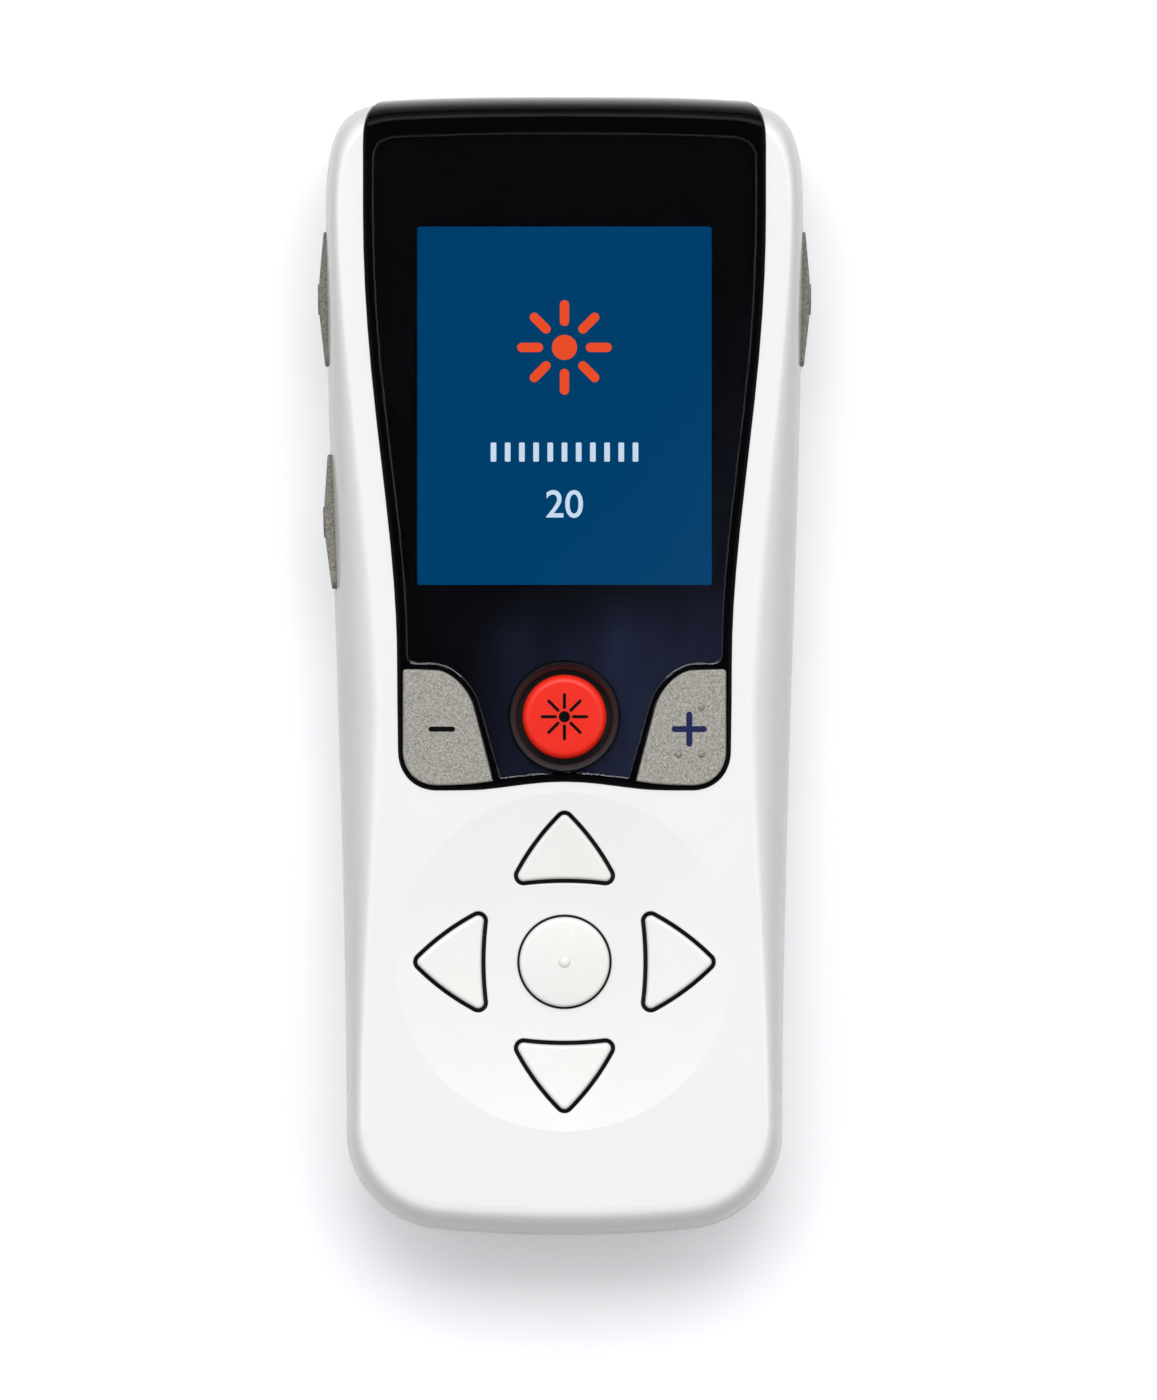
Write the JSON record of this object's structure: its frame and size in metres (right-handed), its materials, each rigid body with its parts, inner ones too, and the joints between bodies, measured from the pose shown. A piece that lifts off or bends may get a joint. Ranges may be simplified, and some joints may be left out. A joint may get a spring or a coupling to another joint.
{
  "type": "tens unit",
  "caption": "Handheld nerve stimulator with a wrap-over display bezel, keypad with navigation pad, side keys, sliding battery door and output sockets.",
  "frame": {"origin": "middle of the unit's footprint, on the plane it lies on", "axes": "+X to the right of a user reading the display, +Y to the display end, +Z out of the keypad face"},
  "size_m": [0.0544, 0.1254, 0.0214],
  "materials": {
    "white_shell": "gloss",
    "black_bezel": "piano gloss",
    "clear_lens": "clear hard-coated window",
    "black_print": "printed",
    "red_key": "satin",
    "grey_key": "fine speckle",
    "white_key": "satin gloss",
    "side_key": "matte",
    "silicone": "translucent",
    "gold_pads": "gold plated",
    "circuit_board": "solder mask",
    "switch_body": "moulded",
    "cell_jacket": "printed jacket",
    "nickel_spring": "nickel plated",
    "socket_body": "moulded",
    "screw_steel": "zinc",
    "lcd_frame": "stamped",
    "lcd_light": "diffusing",
    "lcd_glass": "polariser film",
    "flex_film": "polyimide",
    "ferrite": "sintered",
    "copper": "enamelled wire",
    "chip_black": "moulded",
    "capacitor_can": "brushed"
  },
  "bodies": {
    "handset": {"front_housing": "white_shell", "rear_housing": "white_shell", "display_bezel": "black_bezel", "key_surround": "black_bezel", "display_lens": "clear_lens", "mask_film": "black_print", "keypad_mat": "silicone", "contact_pads": "gold_pads", "main_board": "circuit_board", "side_switches": "switch_body", "battery_cells": "cell_jacket", "battery_springs": "nickel_spring", "battery_contacts": "nickel_spring", "left_output_socket": "socket_body", "right_output_socket": "socket_body", "socket_terminals": "nickel_spring", "housing_screws": "screw_steel", "lcd_frame": "lcd_frame", "lcd_backlight": "lcd_light", "lcd_panel": "lcd_glass", "lcd_flex": "flex_film", "lcd_connector": "switch_body", "transformer_cores": "ferrite", "transformer_coils": "copper", "microcontroller": "chip_black", "driver_chips": "chip_black", "power_inductors": "ferrite", "storage_capacitors": "capacitor_can", "buzzer": "chip_black", "crystal": "capacitor_can", "stimulation_key_boot": "silicone", "minus_key_boot": "silicone", "plus_key_boot": "silicone", "up_key_boot": "silicone", "down_key_boot": "silicone", "left_key_boot": "silicone", "right_key_boot": "silicone", "select_key_boot": "silicone"},
    "battery_door": {"battery_door": "white_shell"},
    "stimulation_button": {"stimulation_key": "red_key"},
    "minus_button": {"minus_key": "grey_key"},
    "plus_button": {"plus_key": "grey_key"},
    "up_button": {"up_key": "white_key"},
    "down_button": {"down_key": "white_key"},
    "left_button": {"left_key": "white_key"},
    "right_button": {"right_key": "white_key"},
    "select_button": {"select_key": "white_key"},
    "left_upper_side_button": {"left_upper_side_key": "side_key", "left_upper_side_plunger": "switch_body"},
    "left_lower_side_button": {"left_lower_side_key": "side_key", "left_lower_side_plunger": "switch_body"},
    "right_side_button": {"right_side_key": "side_key", "right_side_plunger": "switch_body"}
  },
  "joints": [
    {"name": "stimulation_press", "type": "slide", "parent": "handset", "child": "stimulation_button", "axis": [0, 0, -1], "range_m": [0, 0.0008], "stiffness_N_per_m": 800, "deforming": ["stimulation_key_boot"]},
    {"name": "minus_press", "type": "slide", "parent": "handset", "child": "minus_button", "axis": [0, 0, -1], "range_m": [0, 0.0007], "stiffness_N_per_m": 800, "deforming": ["minus_key_boot"]},
    {"name": "plus_press", "type": "slide", "parent": "handset", "child": "plus_button", "axis": [0, 0, -1], "range_m": [0, 0.0007], "stiffness_N_per_m": 800, "deforming": ["plus_key_boot"]},
    {"name": "up_press", "type": "slide", "parent": "handset", "child": "up_button", "axis": [0, 0, -1], "range_m": [0, 0.0007], "stiffness_N_per_m": 800, "deforming": ["up_key_boot"]},
    {"name": "down_press", "type": "slide", "parent": "handset", "child": "down_button", "axis": [0, 0, -1], "range_m": [0, 0.0007], "stiffness_N_per_m": 800, "deforming": ["down_key_boot"]},
    {"name": "left_press", "type": "slide", "parent": "handset", "child": "left_button", "axis": [0, 0, -1], "range_m": [0, 0.0007], "stiffness_N_per_m": 800, "deforming": ["left_key_boot"]},
    {"name": "right_press", "type": "slide", "parent": "handset", "child": "right_button", "axis": [0, 0, -1], "range_m": [0, 0.0007], "stiffness_N_per_m": 800, "deforming": ["right_key_boot"]},
    {"name": "select_press", "type": "slide", "parent": "handset", "child": "select_button", "axis": [0, 0, -1], "range_m": [0, 0.0007], "stiffness_N_per_m": 800, "deforming": ["select_key_boot"]},
    {"name": "left_upper_side_press", "type": "slide", "parent": "handset", "child": "left_upper_side_button", "axis": [1, 0, 0], "range_m": [0, 0.0004], "stiffness_N_per_m": 900},
    {"name": "left_lower_side_press", "type": "slide", "parent": "handset", "child": "left_lower_side_button", "axis": [1, 0, 0], "range_m": [0, 0.0004], "stiffness_N_per_m": 900},
    {"name": "right_side_press", "type": "slide", "parent": "handset", "child": "right_side_button", "axis": [-1, 0, 0], "range_m": [0, 0.0004], "stiffness_N_per_m": 900},
    {"name": "battery_door_slide", "type": "slide", "parent": "handset", "child": "battery_door", "axis": [0, -1, 0], "range_m": [0, 0.075]}
  ]
}
